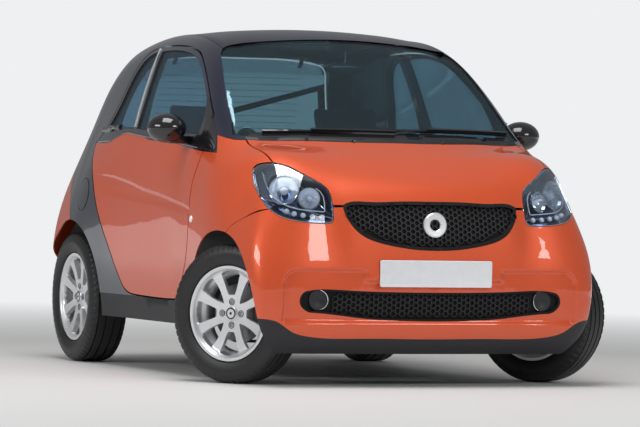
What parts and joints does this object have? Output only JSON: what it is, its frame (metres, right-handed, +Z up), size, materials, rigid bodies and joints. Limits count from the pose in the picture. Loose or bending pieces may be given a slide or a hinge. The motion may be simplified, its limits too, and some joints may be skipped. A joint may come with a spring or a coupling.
{
  "type": "two-seat microcar",
  "caption": "Small two-door city car with a rear engine, a glass hatch over a drop-down tailgate, opening doors, steered front wheels and four turning wheels.",
  "frame": {"origin": "on the ground below the middle of the body", "axes": "+X forward, +Y to the car's left, +Z up"},
  "size_m": [2.6896, 1.888, 1.5535],
  "materials": {
    "dark_paint": "dark blue-black gloss paint",
    "dark_trim": "satin dark grey",
    "dash_plastic": "grained dark grey",
    "floor_steel": "dark coated steel",
    "frame_steel": "black coated steel",
    "glass_clear": "clear, faint green",
    "iron": "dark cast iron",
    "lens_clear": "clear lens",
    "lens_red": "red lens",
    "mirror_shell": "dark gloss",
    "orange_paint": "metallic orange gloss paint",
    "rim_silver": "silver lacquer",
    "roof_black": "black gloss",
    "seat_fabric": "dark woven fabric",
    "steel": "machined steel",
    "tyre_rubber": "matt black"
  },
  "bodies": {
    "chassis": {"bonnet": "orange_paint", "dashboard": "dash_plastic", "engine_block": "iron", "exhaust": "steel", "floor_pan": "floor_steel", "fog_lamps": "dark_trim", "front_bumper": "orange_paint", "front_lower_trim": "dark_trim", "front_struts": "frame_steel", "front_subframe": "frame_steel", "front_wings": "orange_paint", "grille_lower": "dark_trim", "grille_upper": "dark_trim", "headlamp_housings": "dark_trim", "headlamp_lenses": "lens_clear", "interior_mirror": "mirror_shell", "rack_housing": "frame_steel", "rear_axle": "frame_steel", "rear_bumper": "orange_paint", "rear_lamps": "lens_red", "rear_lower_trim": "dark_trim", "rear_springs": "frame_steel", "roof_panel": "roof_black", "safety_cell": "dark_paint", "scuttle_panel": "dark_trim", "seat_left": "seat_fabric", "seat_plinths": "floor_steel", "seat_right": "seat_fabric", "sills": "dark_trim", "steering_column": "dash_plastic", "tailgate_brackets": "steel", "wheelhouse_liners": "dark_trim", "windscreen": "glass_clear"},
    "wheel_front_left": {"tyre_front_left": "tyre_rubber", "rim_front_left": "rim_silver", "disc_front_left": "steel"},
    "wheel_front_right": {"tyre_front_right": "tyre_rubber", "rim_front_right": "rim_silver", "disc_front_right": "steel"},
    "wheel_rear_left": {"tyre_rear_left": "tyre_rubber", "rim_rear_left": "rim_silver", "drum_rear_left": "iron"},
    "wheel_rear_right": {"tyre_rear_right": "tyre_rubber", "rim_rear_right": "rim_silver", "drum_rear_right": "iron"},
    "knuckle_left": {"knuckle_left": "iron"},
    "knuckle_right": {"knuckle_right": "iron"},
    "rack": {"steering_rack": "steel"},
    "helm": {"steering_wheel": "dash_plastic"},
    "door_left": {"door_glass_left": "glass_clear", "door_panel_left": "orange_paint", "door_shell_left": "dark_paint", "mirror_left": "mirror_shell"},
    "door_right": {"door_glass_right": "glass_clear", "door_panel_right": "orange_paint", "door_shell_right": "dark_paint", "mirror_right": "mirror_shell"},
    "hatch": {"hatch_glass": "glass_clear", "hatch_hinges": "steel"},
    "tailgate": {"tailgate": "orange_paint"}
  },
  "joints": [
    {"name": "steer_left", "type": "hinge", "parent": "chassis", "child": "knuckle_left", "pos_m": [0.8875, 0.6895, 0.2978], "axis": [0, 0, 1], "range_deg": [-71.5, 8.5]},
    {"name": "steer_right", "type": "hinge", "parent": "chassis", "child": "knuckle_right", "pos_m": [0.8875, -0.6895, 0.2978], "axis": [0, 0, 1], "range_deg": [-71.5, 8.5]},
    {"name": "steering_wheel_turn", "type": "hinge", "parent": "chassis", "child": "helm", "pos_m": [0.33, -0.36, 0.86], "axis": [-0.9063, 0, 0.4226], "range_deg": [-1152, 144]},
    {"name": "rack_slide", "type": "slide", "parent": "chassis", "child": "rack", "axis": [0, 1, 0], "range_m": [-0.0135, 0.1097]},
    {"name": "wheel_front_left_spin", "type": "hinge", "parent": "knuckle_left", "child": "wheel_front_left", "pos_m": [0.86399, 0.72787, 0.2978], "axis": [-0.5225, 0.8526, 0], "continuous": true},
    {"name": "wheel_front_right_spin", "type": "hinge", "parent": "knuckle_right", "child": "wheel_front_right", "pos_m": [0.91101, -0.72787, 0.2978], "axis": [-0.5225, 0.8526, 0], "continuous": true},
    {"name": "wheel_rear_left_spin", "type": "hinge", "parent": "chassis", "child": "wheel_rear_left", "pos_m": [-0.9855, 0.715, 0.3015], "axis": [0, 1, 0], "continuous": true},
    {"name": "wheel_rear_right_spin", "type": "hinge", "parent": "chassis", "child": "wheel_rear_right", "pos_m": [-0.9855, -0.715, 0.3015], "axis": [0, 1, 0], "continuous": true},
    {"name": "door_left_open", "type": "hinge", "parent": "chassis", "child": "door_left", "pos_m": [0.482, 0.802, 0.6], "axis": [0, 0, -1], "range_deg": [0, 65]},
    {"name": "door_right_open", "type": "hinge", "parent": "chassis", "child": "door_right", "pos_m": [0.482, -0.802, 0.6], "axis": [0, 0, 1], "range_deg": [0, 65]},
    {"name": "hatch_open", "type": "hinge", "parent": "chassis", "child": "hatch", "pos_m": [-0.9, 0, 1.4595], "axis": [0, 1, 0], "range_deg": [0, 85]},
    {"name": "tailgate_open", "type": "hinge", "parent": "chassis", "child": "tailgate", "pos_m": [-1.317, 0, 0.6485], "axis": [0, -1, 0], "range_deg": [0, 90]}
  ],
  "couplings": [
    {"joint": "steer_right", "follows": "steer_left", "ratio": 1},
    {"joint": "rack_slide", "follows": "steer_left", "m_per_rad": -0.0875},
    {"joint": "steering_wheel_turn", "follows": "steer_left", "ratio": 16}
  ]
}
